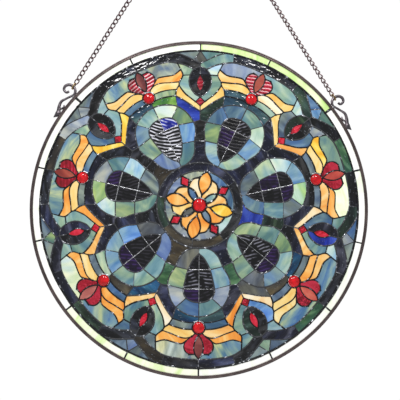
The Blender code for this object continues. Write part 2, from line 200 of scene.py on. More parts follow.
# Spacers, to the right of each lobe, from the outer one in
SPACERS = (
    "emerald umber", "navy black", "black umber", "black navy",
    "navy navy", "bottle cobalt", "emerald navy",
)
# Border, left and right of each lobe's axis
BORDER = (
    "ivory cream", "cream ivory", "ivory ivory", "ivory ivory",
    "lime lime", "ivory ivory", "ivory ivory",
)
# The ring round the flower, clockwise from its first joint, and the flower from its top petal
RING_JOINTS = (12, 56, 102, 145, 190, 237, 282, 329)
RING_GLASS = "navy black black umber umber bottle navy navy"
PETAL_GLASS = "amber gold amber amber"
LEAF_GLASS = "apricot peach amber apricot amber amber apricot honey"
ROOT_GLASS = "mint slate smoke steel"
GROUND_GLASS = "steel steel pale lilac lilac agate lilac agate"


def measure(name, default, description):
    """A length that the panel's maker would change."""
    return bpy.props.FloatProperty(name=name, description=description, default=default, unit="LENGTH")


class PanelSizes(bpy.types.PropertyGroup):
    """The sizes of the panel that its maker would change."""

    rim_face: measure("Rim face", 0.0057, "Width of the rim seen from the front")
    rim_depth: measure("Rim depth", 0.0075, "Depth of the rim, front to back")
    border_radius: measure("Border line", PATTERN * MILLIMETRE, "Inner radius of the border glass")
    glass_depth: measure("Glass thickness", 0.003, "Thickness of the sheet glass")
    pane_gap: measure("Pane gap", 0.0004, "Gap from a pane's edge to the middle of its line")
    line_width: measure("Solder width", 0.0032, "Width of a main solder bead")
    line_depth: measure("Solder depth", 0.005, "Depth of a solder bead, front to back")
    jewel_radius: measure("Jewel radius", 0.0101, "Radius of the jewel of a lobe")
    centre_jewel_radius: measure("Centre jewel radius", 0.0116, "Radius of the jewel in the middle")
    jewel_rise: measure("Jewel rise", 0.0055, "Height of a jewel's dome above the middle of the glass")
    hook_width: measure("Hook bar", 0.0052, "Width of the bar that a hook is made of")
    link_wire: measure("Link wire", 0.0023, "Thickness of the chain's wire")
    link_width: measure("Link width", 0.0088, "Width of a chain link over its wire")
    link_pitch: measure("Link pitch", 0.0098, "Distance from one link to the next")


class GlassColours(bpy.types.PropertyGroup):
    """The main colour of every sheet of glass."""

    __annotations__ = {
        name: bpy.props.FloatVectorProperty(
            name=name.replace("_", " ").capitalize(),
            description="Main colour of this sheet of glass",
            default=[channel / 255 for channel in main],
            subtype="COLOR_GAMMA",
            min=0,
            max=1,
        )
        for name, (_, main, *_) in SHEETS.items()
    }


# Drawing: points are millimetres in the plane of the glass, seen from the front


def at(across, up):
    return Vector((across, up))


def cusp(radius, aside=0):
    """A point along the axis between this lobe and the next, or aside of it in this lobe."""
    across = radius * math.sin(CUSP_TURN) - aside * math.cos(CUSP_TURN)
    up = radius * math.cos(CUSP_TURN) + aside * math.sin(CUSP_TURN)
    return at(across, up)


def turned(points, angle):
    """The points turned clockwise about the centre."""
    turn = Matrix.Rotation(-angle, 2)
    return [turn @ point for point in points]


def mirrored(points):
    """The points on the other side of the upright axis, in the opposite order."""
    return [at(-point.x, point.y) for point in reversed(points)]


def across_cusp(points):
    """The points on the other side of the axis between two lobes, in the opposite order."""
    return turned(mirrored(turned(points, -CUSP_TURN)), CUSP_TURN)


# Steps of a smooth line from one drawn point to the next
STEPS = 3


def smooth(points, steps=STEPS):
    """A smooth line through the points, with that many steps from each one to the next."""
    line = []
    last = len(points) - 1
    for number in range(last):
        here, after = points[number], points[number + 1]
        before = points[number - 1] if number else here * 2 - after
        beyond = points[number + 2] if number + 2 <= last else after * 2 - here
        for step in range(steps):
            share = step / steps
            leave = (after - before) / 2
            arrive = (beyond - here) / 2
            line.append(
                here * (2 * share**3 - 3 * share**2 + 1)
                + leave * (share**3 - 2 * share**2 + share)
                + after * (3 * share**2 - 2 * share**3)
                + arrive * (share**3 - share**2)
            )
    return [*line, points[-1]]


def run(line, first, last):
    """The stretch of a smooth line between two of the points that it was drawn through."""
    if first <= last:
        return line[first * STEPS : last * STEPS + 1]
    return line[last * STEPS : first * STEPS + 1][::-1]


def knot(line, number):
    """One of the points that a smooth line was drawn through."""
    return line[number * STEPS]


def on_circle(radius, degrees, centre=at(0, 0)):
    """The point of a circle at an angle in degrees, measured clockwise from the top."""
    angle = math.radians(degrees)
    return centre + at(math.sin(angle), math.cos(angle)) * radius


def arc(radius, first, last, centre=at(0, 0), pitch=4):
    """Points of an arc between two angles in degrees, about that many millimetres apart."""
    steps = max(2, round(abs(last - first) * math.pi / 180 * radius / pitch))
    return [on_circle(radius, first + (last - first) * step / steps, centre) for step in range(steps + 1)]


def joined(*pieces):
    """One closed outline from pieces of line that follow each other, with no point twice."""
    touching = 0.05
    outline = []
    for piece in pieces:
        for point in piece if isinstance(piece, list) else [piece]:
            if not outline or (point - outline[-1]).length > touching:
                outline.append(point)
    if (outline[0] - outline[-1]).length < touching:
        outline.pop()
    return outline


def whole(half, mirror=mirrored):
    """The outline of a pane from the half of it on one side of its axis."""
    return joined(half, mirror(half))


def lobe_turn(lobe):
    """How far a lobe is turned clockwise from the top, where it is drawn."""
    return math.pi + lobe * LOBE_TURN


def lobe_degrees(lobe):
    """The direction of a lobe in degrees clockwise from the top."""
    return 180 + lobe * 2 * CUSP_DEGREES


# The lines of the right half of a lobe

JEWEL = at(0, 216.5)
JEWEL_LINE = 11.6
MEDALLION = 62.5
RING_OUT = 77.0
CUSP_DEGREES = math.degrees(CUSP_TURN)
SCALLOP_DEGREES = CUSP_DEGREES - 10.1
JOINT_DEGREES = 13.1
FOOT_DEGREES = 6.0
# Where the inner leaf and the arch meet the jewel, in degrees clockwise from its top
LEAF_HEAD, LEAF_FOOT, ARCH_FOOT = 34, 76, 140


def round_jewel(first, last, pitch=4):
    """An arc of the line round a lobe's jewel."""
    return arc(JEWEL_LINE, first, last, JEWEL, pitch)


def on_jewel(degrees):
    """A point of the line round a lobe's jewel."""
    return on_circle(JEWEL_LINE, degrees, JEWEL)


PETAL_TOP = at(0, 197.5)
PETAL_LINE = smooth([
    PETAL_TOP, at(15, 195.3), at(28, 190), at(41, 181), at(51, 165), at(55.5, 142), at(52, 126),
    at(42, 109.5), at(34, 92), at(22, 80.5), on_circle(RING_OUT, FOOT_DEGREES),
])
DROP_TOP, HIGH_BAR, LOW_BAR, DROP_FOOT = at(0, 173), at(0, 149.5), at(0, 115), at(0, 87)
DROP_LINE = smooth([
    DROP_TOP, at(12, 171), at(22.5, 165), at(27, 157), at(27.5, 149), at(25, 136), at(19.5, 115),
    at(10, 97), DROP_FOOT,
])

SHOULDER = at(46.4, 200.3)
FLAME_TIP = cusp(172.5)
SPACER_TOP = cusp(156)
ARCH_TOP_LINE = smooth([on_jewel(ARCH_FOOT), at(18, 207.3), at(30, 205.3), SHOULDER])
ARCH_SIDE_LINE = smooth([SHOULDER, at(56, 187.5), at(63, 176), at(69, 165), FLAME_TIP])

LEAF_TIP, FLAME_END, OUTER_LEAF_TIP = at(53, 210.3), at(60.5, 215.5), at(64, 221)
GROUND_TIP, BAND_TIP = at(75.8, 241), at(75.5, 254.5)
BUD_FOOT, BUD_SHOULDER, BUD_TIP = at(12, 231.3), at(22.5, 239.5), at(0, 270.7)
SIDE_LINE = smooth([
    SHOULDER, LEAF_TIP, FLAME_END, OUTER_LEAF_TIP, at(75, 229.5), GROUND_TIP, BAND_TIP,
])
LEAF_LOW = smooth([on_jewel(LEAF_FOOT), at(25, 218.6), at(40, 215.2), LEAF_TIP])
LEAF_MIDDLE = smooth([
    on_jewel(LEAF_HEAD), BUD_FOOT, at(23, 234.3), at(34, 232.3), at(47, 227), OUTER_LEAF_TIP,
])
LEAF_HIGH = smooth([BUD_SHOULDER, at(31, 244), at(45, 241), at(60, 237.2), GROUND_TIP])
BUD_LEAF = smooth([at(0, 229), at(5.5, 238), at(8.6, 250), at(6.4, 262), BUD_TIP])
BUD_SIDE = smooth([BUD_FOOT, BUD_SHOULDER, at(26, 249), at(23.5, 257), at(17.5, 262.5)])

BAND_MEET = cusp(251, 12)
BAND_LINE = smooth([
    BUD_TIP, at(20, 270.2), at(40, 268.2), at(60, 263.8), BAND_TIP, at(87.5, 244.5), BAND_MEET,
])
KITE_SIDE, KITE_FOOT = cusp(268, 12), cusp(262)
SCALLOP_LINE = smooth([
    on_circle(PATTERN, SCALLOP_DEGREES), cusp(279.5, 38), cusp(274.5, 25), KITE_SIDE, KITE_FOOT,
])
SQUARE = [cusp(182), cusp(190, 8.6), cusp(199)]
FLAME_LINE = smooth([SQUARE[1], cusp(196.5, 17), cusp(204.5, 27), cusp(213, 34), FLAME_END])
ALMOND_LINE = smooth([
    SQUARE[2], cusp(205, 10), cusp(215, 17), cusp(223, 20), cusp(231, 20.4), cusp(240, 18.4),
    BAND_MEET, cusp(256),
])
CORE_LINE = smooth([cusp(209.5), cusp(217, 5), cusp(225, 6.4), cusp(233, 4.6), cusp(241)])
CRESCENT_TOP = [knot(ALMOND_LINE, 5), knot(SIDE_LINE, 4)]

# Lines of the right half of a petal of the flower, up to the line between two petals

BETWEEN = FLOWER_PETAL_TURN / 2
BETWEEN_DEGREES = math.degrees(BETWEEN)
JEWEL_RIM = 13.2
FLOWER_LEAF_FOOT = 26
RUBY = turned([at(0, 38), at(-8.3, 50), at(0, MEDALLION)], BETWEEN)
FLOWER_PETAL = smooth([at(0, 19.5), at(7.5, 30), at(11.3, 42), at(8.5, 54), at(0, MEDALLION)])
FLOWER_LEAF = smooth([RUBY[0], at(25.6, 36), at(21.5, 44), at(11.3, 49)])
FLOWER_LEAF_LOW = smooth([on_circle(JEWEL_RIM, FLOWER_LEAF_FOOT), at(12.5, 21), at(20, 25.5), RUBY[0]])


# The panes of the right half of a lobe


def lobe_tiles():
    """The tiles round the right half of a petal, from the top down."""
    foot = arc(RING_OUT, 0, FOOT_DEGREES)
    yield joined(run(DROP_LINE, 0, 2), run(PETAL_LINE, 3, 0))
    yield joined(run(DROP_LINE, 2, 4), run(PETAL_LINE, 5, 3))
    yield joined(run(DROP_LINE, 4, 6), run(PETAL_LINE, 7, 5))
    yield joined(run(DROP_LINE, 6, 8), foot, run(PETAL_LINE, 10, 7))


def lobe_drop():
    """The right half's pieces of the drop, from the top down."""
    yield joined(run(DROP_LINE, 0, 4), HIGH_BAR)
    yield joined(HIGH_BAR, run(DROP_LINE, 4, 6), LOW_BAR)
    yield joined(LOW_BAR, run(DROP_LINE, 6, 8))


def lobe_arch():
    """The right half's arch pieces, from the top down."""
    yield joined(PETAL_TOP, round_jewel(180, ARCH_FOOT), ARCH_TOP_LINE, run(PETAL_LINE, 3, 0))
    yield joined(ARCH_SIDE_LINE, SPACER_TOP, run(PETAL_LINE, 5, 3))


def lobe_scallop():
    """The right half's scallop pieces, from the top down."""
    meet = knot(BAND_LINE, 3)
    yield joined(arc(PATTERN, 0, JOINT_DEGREES), meet, run(BAND_LINE, 3, 0))
    outer = arc(PATTERN, JOINT_DEGREES, SCALLOP_DEGREES)
    yield joined(meet, outer, SCALLOP_LINE, run(ALMOND_LINE, 7, 6), run(BAND_LINE, 6, 3))


def lobe_field():
    """Ground, outer leaf, inner leaf and inner ground of the right half."""
    bud = [*run(BUD_LEAF, 4, 3), *run(BUD_SIDE, 4, 1)]
    yield joined(LEAF_HIGH, run(SIDE_LINE, 5, 6), run(BAND_LINE, 4, 0), bud)
    yield joined(run(LEAF_MIDDLE, 1, 5), run(SIDE_LINE, 3, 5), LEAF_HIGH[::-1], run(BUD_SIDE, 1, 0))
    yield joined(LEAF_LOW, run(SIDE_LINE, 1, 3), LEAF_MIDDLE[::-1], round_jewel(LEAF_HEAD, LEAF_FOOT))
    yield joined(LEAF_LOW, run(SIDE_LINE, 1, 0), ARCH_TOP_LINE[::-1], round_jewel(ARCH_FOOT, LEAF_FOOT))


def lobe_bud():
    """The crescent at the right side of the bud."""
    foot = round_jewel(LEAF_HEAD, 2)
    return joined(foot, run(BUD_LEAF, 0, 3), run(BUD_SIDE, 4, 0), run(LEAF_MIDDLE, 1, 0))


def eye_side():
    """Flame, crescent, almond and corner on this lobe's side of an eye."""
    yield joined(ARCH_SIDE_LINE[::-1], run(SIDE_LINE, 0, 2), FLAME_LINE[::-1], SQUARE[0])
    yield joined(run(ALMOND_LINE, 0, 5), run(SIDE_LINE, 4, 2), FLAME_LINE[::-1])
    yield joined(ALMOND_LINE, CORE_LINE[::-1])
    yield joined(run(SIDE_LINE, 4, 6), run(BAND_LINE, 4, 6), run(ALMOND_LINE, 6, 5))


def gusset_side():
    """The long gusset on this lobe's side of the kite."""
    return joined(arc(PATTERN, SCALLOP_DEGREES, CUSP_DEGREES), run(SCALLOP_LINE, 3, 0))


def kite():
    """The gusset between two lobes."""
    return joined(cusp(PATTERN), KITE_SIDE, KITE_FOOT, across_cusp([KITE_SIDE]))


def spacer_sides():
    """The halves of the two spacers on this lobe's side."""
    yield [SPACER_TOP, *run(PETAL_LINE, 5, 7)]
    yield [*run(PETAL_LINE, 7, 10), *arc(RING_OUT, FOOT_DEGREES, CUSP_DEGREES)[1:]]


def both_sides(outlines, sheets, suffix=""):
    """Each outline with its sheet: the mirrored ones take the first sheets, the drawn ones the rest."""
    outlines = list(outlines)
    count = len(outlines)
    for outline, left, right in zip(outlines, sheets[:count], sheets[count : 2 * count]):
        yield mirrored(outline), left + suffix
        yield outline, right + suffix


# The solder: each line comes with its width, as a share of a main bead's width

THIN, FINE, MAIN, BOLD = 0.8, 0.9, 1.0, 1.1
GLINT_DEGREES = 40
BORDER_RADII = (PATTERN, 292, 299.5)
DROP_WIDTH, FLOWER_WIDTH, EDGE_WIDTH, HOOK_JOINT_WIDTH = 0.75, 1.25, 1.35, 1.5
LOBE_LEAVES = (
    ARCH_TOP_LINE, SIDE_LINE, LEAF_LOW, LEAF_MIDDLE, LEAF_HIGH, BUD_SIDE, FLAME_LINE, CORE_LINE, BUD_LEAF,
)
LOBE_BANDS = (PETAL_LINE, DROP_LINE, ARCH_SIDE_LINE, BAND_LINE, SCALLOP_LINE, ALMOND_LINE)


def both_halves(lines):
    """Each line of the right half with its width, and its mirror."""
    for line, width in lines:
        yield line, width
        yield mirrored(line), width


def leaf_lines():
    """The dark solder in the right half of a lobe: leaves, bud, flame, jewel and panel edge."""
    for line in LOBE_LEAVES:
        yield line, MAIN
    yield [knot(BUD_LEAF, 3), BUD_SIDE[-1]], BOLD
    yield SQUARE, FINE
    yield CRESCENT_TOP, FINE
    yield round_jewel(0, 180, 3), FINE
    yield arc(PATTERN, 0, CUSP_DEGREES, pitch=8), EDGE_WIDTH


def band_lines():
    """The worn solder in the right half of a lobe: bands, tiles and drop."""
    for line in LOBE_BANDS:
        yield line, MAIN
    yield [knot(PETAL_LINE, 3), SHOULDER], THIN
    yield [knot(PETAL_LINE, 5), SPACER_TOP], THIN
    yield [cusp(PATTERN), KITE_SIDE], THIN
    for inner, outer in ((2, 3), (4, 5), (6, 7)):
        yield [knot(DROP_LINE, inner), knot(PETAL_LINE, outer)], THIN
    yield [knot(BAND_LINE, 3), on_circle(PATTERN, JOINT_DEGREES)], THIN
    yield arc(RING_OUT, 0, CUSP_DEGREES), BOLD


def axis_lines():
    """The worn solder along a lobe's own axis and along the one to the right of it."""
    waist = knot(PETAL_LINE, 7)
    yield [at(0, RING_OUT), DROP_FOOT], THIN
    yield [DROP_TOP, PETAL_TOP, at(0, 205)], THIN
    yield [BUD_TIP, at(0, PATTERN)], THIN
    yield [SPACER_TOP, FLAME_TIP, SQUARE[0]], FINE
    yield [SQUARE[2], CORE_LINE[0]], FINE
    yield [CORE_LINE[-1], ALMOND_LINE[-1], SCALLOP_LINE[-1]], FINE
    yield [waist, across_cusp([waist])[0]], THIN


def drop_lines():
    """The bright solder of a lobe: along and across its drop."""
    yield [DROP_FOOT, LOW_BAR, HIGH_BAR, DROP_TOP], DROP_WIDTH
    for bar, number in ((HIGH_BAR, 4), (LOW_BAR, 6)):
        yield from both_halves([([bar, knot(DROP_LINE, number)], DROP_WIDTH)])


def flower_lines():
    """The dark solder in the right half of a petal."""
    for line in (FLOWER_PETAL, FLOWER_LEAF, FLOWER_LEAF_LOW, RUBY):
        yield line, FLOWER_WIDTH
    yield [at(0, JEWEL_RIM), FLOWER_PETAL[0]], MAIN


# How far the border's joint before a lobe is moved to meet its hook, in degrees
JOINT_SHIFTS = {3: 2.03, 5: 1.87}


def border_cuts(lobe):
    """Where the border is cut left of the lobe, on its axis and right of it, in degrees from it."""
    return -CUSP_DEGREES + JOINT_SHIFTS.get(lobe, 0), 0.0, CUSP_DEGREES + JOINT_SHIFTS.get(lobe + 1, 0)


def border_lines():
    """The short lines across the border, wider under the hooks."""
    for lobe in range(LOBES):
        for cut in border_cuts(lobe)[1:]:
            width = BOLD if cut in (0.0, CUSP_DEGREES) else HOOK_JOINT_WIDTH
            yield [on_circle(radius, lobe_degrees(lobe) + cut) for radius in BORDER_RADII], width


def painted_jewel_highlights():
    """A painted highlight: bright solder along the top of the ring round each jewel, where light catches it.
    """
    for lobe in range(LOBES):
        yield arc(JEWEL_LINE, -GLINT_DEGREES, GLINT_DEGREES, turned([JEWEL], lobe_turn(lobe))[0]), BOLD
    yield arc(JEWEL_RIM, -GLINT_DEGREES, GLINT_DEGREES, pitch=4.7), BOLD


def every(lines):
    """The lines of one lobe, in all the lobes."""
    lines = list(lines)
    for lobe in range(LOBES):
        for line, width in lines:
            yield turned(line, lobe_turn(lobe)), width


def dark_lines():
    """All lines of solder that kept their patina."""
    yield from every(both_halves(leaf_lines()))
    for petal in range(FLOWER_PETALS):
        for line, width in both_halves(flower_lines()):
            yield turned(line, FLOWER_TURN + petal * FLOWER_PETAL_TURN), width
    yield arc(JEWEL_RIM, 0, 360, pitch=3), BOLD
    yield from border_lines()


def worn_lines():
    """All lines of solder that are rubbed to silver in places."""
    yield from every([*both_halves(band_lines()), *axis_lines()])
    for joint in RING_JOINTS:
        yield [on_circle(MEDALLION, joint), on_circle(RING_OUT, joint)], THIN
    yield arc(MEDALLION, 0, 360), BOLD


def bright_lines():
    """All bright solder: the drop lines, rubbed bright, and the painted highlights at the top of each jewel's
    ring.
    """
    yield from every(drop_lines())
    yield from painted_jewel_highlights()


# Making


def place(point, depth=0.0):
    """A point of the drawing at its real place, that far behind the middle of the glass."""
    return CENTRE + Vector((point.x * MILLIMETRE, depth, point.y * MILLIMETRE))


def sizes():
    """The sizes that are set in the sidebar."""
    return bpy.context.scene.panel_sizes


def clear_selection():
    if bpy.context.mode != "OBJECT":
        bpy.ops.object.mode_set(mode="OBJECT")
    bpy.ops.object.select_all(action="DESELECT")


def area_of(outline):
    """The area inside an outline, negative where it runs clockwise."""
    return sum(a.x * b.y - b.x * a.y for a, b in zip(outline, outline[1:] + outline[:1])) / 2


def inset(outline, distance):
    """An anticlockwise outline moved inwards, with its corners kept and its sharp tips held back."""
    least = 0.35
    moved = []
    for before, here, after in zip(outline[-1:] + outline[:-1], outline, outline[1:] + outline[:1]):
        into = (here - before).normalized()
        out = (after - here).normalized()
        normals = at(-into.y - out.y, into.x + out.x)
        moved.append(here + normals * (distance / max(least, 1 + into.dot(out))))
    return moved


def finished(name, slot, node):
    """Names the active object, applies its place and hands it to the frame for its CAD node."""
    if bpy.context.mode != "OBJECT":
        bpy.ops.object.mode_set(mode="OBJECT")
    piece = bpy.context.active_object
    piece.name = name
    piece.data.name = name
    bpy.ops.object.transform_apply(location=True, rotation=True, scale=True)
    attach(piece, "root")
    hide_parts(node)
    return piece


def grain(name, number, sheet, middle):
    """How a pane was cut from its sheet: the direction of the grain, and a place on the sheet."""
    chance = random.Random(f"{name} {number}")
    outwards = math.atan2(middle.y, middle.x)
    round_about = math.atan2(-middle.x, middle.y)
    angle = outwards + chance.uniform(-0.5, 0.5) + math.pi / 2 * chance.randint(0, 1)
    if sheet.endswith("_ripple") and name.startswith("petal_drop"):
        angle = chance.uniform(-0.35, 0.35)
    elif sheet.endswith("_ripple"):
        angle = round_about + 0.25
    elif SHEETS[sheet][0] == "rolled":
        angle = round_about + chance.uniform(-0.2, 0.2)
    return Vector((math.cos(angle), math.sin(angle), chance.uniform(0, 40)))


def cut_panes(name, panes, slot, node):
    """One group of panes, each cut to its outline from its sheet of glass."""
    clear_selection()
    half = sizes().glass_depth / 2
    gap = sizes().pane_gap / MILLIMETRE
    sheets = []
    for number, (outline, sheet) in enumerate(panes):
        if area_of(outline) < 0:
            outline = outline[::-1]
        outline = inset(outline, gap)
        if sheet not in sheets:
            sheets.append(sheet)
        bpy.ops.mesh.primitive_circle_add(vertices=len(outline), fill_type="NGON", radius=0.01)
        if number == 0:
            bpy.ops.object.mode_set(mode="EDIT")
        shape = bmesh.from_edit_mesh(bpy.context.active_object.data)
        layer = shape.verts.layers.float_vector.get("cut") or shape.verts.layers.float_vector.new("cut")
        shape.verts.ensure_lookup_table()
        corners = shape.verts[-len(outline) :]
        cut = grain(name, number, sheet, sum(outline, at(0, 0)) / len(outline))
        for corner, point in zip(corners, outline):
            corner.co = place(point, -half)
            corner[layer] = cut
            corner.select = True
        for face in corners[0].link_faces:
            face.material_index = sheets.index(sheet)
        bmesh.update_edit_mesh(bpy.context.active_object.data)
        bpy.ops.mesh.select_all(action="DESELECT")
    bpy.ops.mesh.select_all(action="SELECT")
    bpy.ops.mesh.extrude_region_move(TRANSFORM_OT_translate={"value": (0, 2 * half, 0)})
    bpy.ops.mesh.select_all(action="SELECT")
    bpy.ops.mesh.normals_make_consistent(inside=False)
    piece = finished(name, slot, node)
    for sheet in sheets:
        piece.data.materials.append(glass(f"glass_{sheet}"))


def shown(thing):
    """Puts a new object in the scene, and makes it the one that is selected."""
    bpy.context.scene.collection.objects.link(thing)
    clear_selection()
    thing.select_set(True)
    bpy.context.view_layer.objects.active = thing
    return thing


def bead_curve(name, lines, radius, steps):
    """A round bead along each line of places and shares of the radius, as one mesh."""
    curve = bpy.data.curves.new(name, "CURVE")
    curve.dimensions = "3D"
    curve.bevel_depth = radius
    curve.bevel_resolution = steps
    curve.use_fill_caps = True
    for places, shares in lines:
        spline = curve.splines.new("POLY")
        spline.points.add(len(places) - 1)
        for point, spot, share in zip(spline.points, places, shares):
            point.co = (*spot, 1)
            point.radius = share
    bead = shown(bpy.data.objects.new(name, curve))
    bpy.ops.object.convert(target="MESH")
    return bead


def flatten(share):
    """Scales the whole active mesh front to back about the middle of the glass."""
    bpy.ops.object.mode_set(mode="EDIT")
    bpy.ops.mesh.select_all(action="SELECT")
    bpy.ops.transform.resize(value=(1, share, 1), center_override=CENTRE)
    bpy.ops.object.mode_set(mode="OBJECT")


def stamped(name, pattern, matrices):
    """One object from copies of the pattern's mesh at the matrices; the pattern goes."""
    shape = bmesh.new()
    for matrix in matrices:
        copy = bmesh.new()
        copy.from_mesh(pattern.data)
        copy.transform(matrix)
        mesh = bpy.data.meshes.new("copy")
        copy.to_mesh(mesh)
        copy.free()
        shape.from_mesh(mesh)
        bpy.data.meshes.remove(mesh)
    mesh = bpy.data.meshes.new(name)
    shape.to_mesh(mesh)
    shape.free()
    bpy.data.objects.remove(pattern)
    return shown(bpy.data.objects.new(name, mesh))


def join_into(main, others):
    """Makes the others part of the main object, which stays the active one."""
    clear_selection()
    for other in [*others, main]:
        other.select_set(True)
    bpy.context.view_layer.objects.active = main
    bpy.ops.object.join()


def smooth_faces(angle):
    """Shades the active object smooth, apart from edges sharper than the angle in degrees."""
    bpy.ops.object.shade_smooth_by_angle(angle=math.radians(angle))


def made_of(piece, finish):
    """Gives the whole piece one finish."""
    piece.data.materials.clear()
    piece.data.materials.append(finish)
    return piece


# Finishes


class Signal:
    """A value from a shader node. Sums with it add the Math nodes they need."""

    def __init__(self, nodes, socket):
        self.nodes = nodes
        self.socket = socket

    def maths(self, operation, first, second):
        """The signal that the operation makes of the two."""
        return self.nodes.add("ShaderNodeMath", {"operation": operation}, {0: first, 1: second})

    def __add__(self, other):
        return self.maths("ADD", self, other)

    def __sub__(self, other):
        return self.maths("SUBTRACT", self, other)

    def __mul__(self, other):
        return self.maths("MULTIPLY", self, other)


class Nodes:
    """The nodes of a material or of the world."""

    def __init__(self, tree):
        self.tree = tree

    def add(self, kind, settings=None, sockets=None, output=0):
        """A node of that type: its settings come first, then the values and links of its sockets."""
        node = self.tree.nodes.new(kind)
        for name, value in (settings or {}).items():
            setattr(node, name, value)
        for name, value in (sockets or {}).items():
            self.put(node.inputs[name], value)
        return Signal(self, node.outputs[output])

    def put(self, socket, value):
        """Links a signal to the socket, or sets the socket's own value."""
        if isinstance(value, Signal):
            self.tree.links.new(value.socket, socket)
        else:
            socket.default_value = value


class Finish(Nodes):
    """A Principled material and the nodes that feed it."""

    def __init__(self, name, **constants):
        self.material = bpy.data.materials.new(name)
        self.material.use_nodes = True
        super().__init__(self.material.node_tree)
        self.shader = self.tree.nodes["Principled BSDF"]
        self.feed(**constants)

    def feed(self, **inputs):
        """Puts values or signals in the shader's sockets."""
        for socket, value in inputs.items():
            self.put(self.shader.inputs[socket.replace("_", " ")], value)
        return self.material

    def spot(self):
        """The place on the panel, in metres."""
        return self.add("ShaderNodeTexCoord", output="Object")

    def split(self, vector):
        """The three parts of a vector."""
        parts = self.add("ShaderNodeSeparateXYZ", None, {0: vector})
        return [Signal(self, socket) for socket in parts.socket.node.outputs]

    def vector(self, x, y, z):
        """A vector from three values."""
        return self.add("ShaderNodeCombineXYZ", None, {0: x, 1: y, 2: z})

    def noise(self, where, scale, detail, rough=0.5, warp=0.0):
        sockets = {"Vector": where, "Scale": scale, "Detail": detail, "Roughness": rough, "Distortion": warp}
        return self.add("ShaderNodeTexNoise", None, sockets)

    def fade(self, signal, low, high, to_low=0.0, to_high=1.0):
        """The signal spread from the range low to high over the range to_low to to_high."""
        sockets = {"Value": signal, "From Min": low, "From Max": high, "To Min": to_low, "To Max": to_high}
        return self.add("ShaderNodeMapRange", None, sockets)

    def blend(self, share, first, second, way="MIX"):
        """One colour over the other, by that share of the second."""
        settings = {"data_type": "RGBA", "blend_type": way}
        return self.add("ShaderNodeMix", settings, {0: share, 6: first, 7: second}, 2)

    def bump(self, height, distance):
        return self.add("ShaderNodeBump", None, {"Height": height, "Distance": distance})


def once(make):
    """Makes a finish at its first use, and finds it by its name after that."""

    def found(name):
        return bpy.data.materials.get(name) or make(name)

    return found


def linear(colour):
    """A screen colour, 0 to 1, as light."""
    return [*(c / 12.92 if c <= 0.04045 else ((c + 0.055) / 1.055) ** 2.4 for c in colour), 1]


# Roughness of each kind of glass, and the strength of its painted glow: its colour given off as light, as if
# lit from behind
KINDS = {
    "opal": (0.18, 0.11),
    "amber": (0.18, 0.15),
    "milk": (0.18, 0.28),
    "rolled": (0.10, 0.03),
    "ripple": (0.18, 0.02),
    "speckled": (0.24, 0.12),
    "reeded": (0.24, 0.12),
}
# How far a rippled sheet's painted highlights show in its calm places
CALM_HIGHLIGHTS = {"storm_ripple": 0.35, "ruby_ripple": 0.15}
# What a blue, green or dark sheet is multiplied by at its cool and its warm places
COOL = (0.78, 0.90, 1.06, 1)
WARM = (1.08, 1.06, 0.80, 1)
# Painted sparkle on rolled glass: small light marks that stand in for highlights on its rolled surface
PAINTED_SPARKLE = (0.50, 0.56, 0.64, 1)


@once
def glass(name):
    """The finish of one sheet of glass."""
    sheet = name.removeprefix("glass_")
    kind, *colours = SHEETS[sheet]
    chosen = getattr(bpy.context.scene.glass_colours, sheet)
    shift = [new - old / 255 for new, old in zip(chosen, colours[0])]
    colours = [linear([min(1, max(0, c / 255 + s)) for c, s in zip(colour, shift)]) for colour in colours]
    rough, glow = KINDS[kind]
    finish = Finish(name, Roughness=rough, IOR=1.5, Emission_Strength=glow)
    spot = finish.spot()
    x, _, z = finish.split(spot)
    cut = finish.add("ShaderNodeAttribute", {"attribute_name": "cut"}, output="Vector")
    grain_x, grain_z, offset = finish.split(cut)
    along = x * grain_x + z * grain_z
    aside = z * grain_x - x * grain_z
    if kind in ("ripple", "reeded"):
        calm = CALM_HIGHLIGHTS.get(sheet, 0.0)
        colour, bumps = rippled_glass(finish, spot, (along, aside, offset), colours, calm)
    else:
        colour, bumps = streaked_glass(finish, spot, (along, aside, offset), colours, kind)
    # Painted glow: the sheet's colour is also emitted, standing in for light shining through it from behind
    return finish.feed(Base_Color=colour, Emission_Color=colour, Normal=bumps)


def rippled_glass(finish, spot, grained, colours, calm):
    """Colour and bumps of glass with ripples across its grain, which come and go over the sheet, with a
    painted highlight in its light colour along the tops of the ripples.
    """
    along, aside, offset = grained
    main, light, dark = colours
    wander = finish.noise(spot, 60, 2)
    rows = finish.vector(along, offset * 0.002, aside)
    waves = finish.add(
        "ShaderNodeTexWave",
        {"wave_type": "BANDS", "bands_direction": "Z"},
        {"Vector": rows, "Scale": 50, "Distortion": 4.0, "Detail": 1.0, "Detail Scale": 0.8},
        "Fac",
    )
    colour = finish.blend(finish.fade(wander, 0.35, 0.7), dark, main)
    # Painted highlights: the light colour laid along the tops of the ripples, standing in for their
    # reflections
    crest_highlights = finish.fade(waves, 0.62, 0.86) * finish.fade(wander, 0.44, 0.54, calm, 1.0)
    return finish.blend(crest_highlights, colour, light), finish.bump(waves, 0.00035)


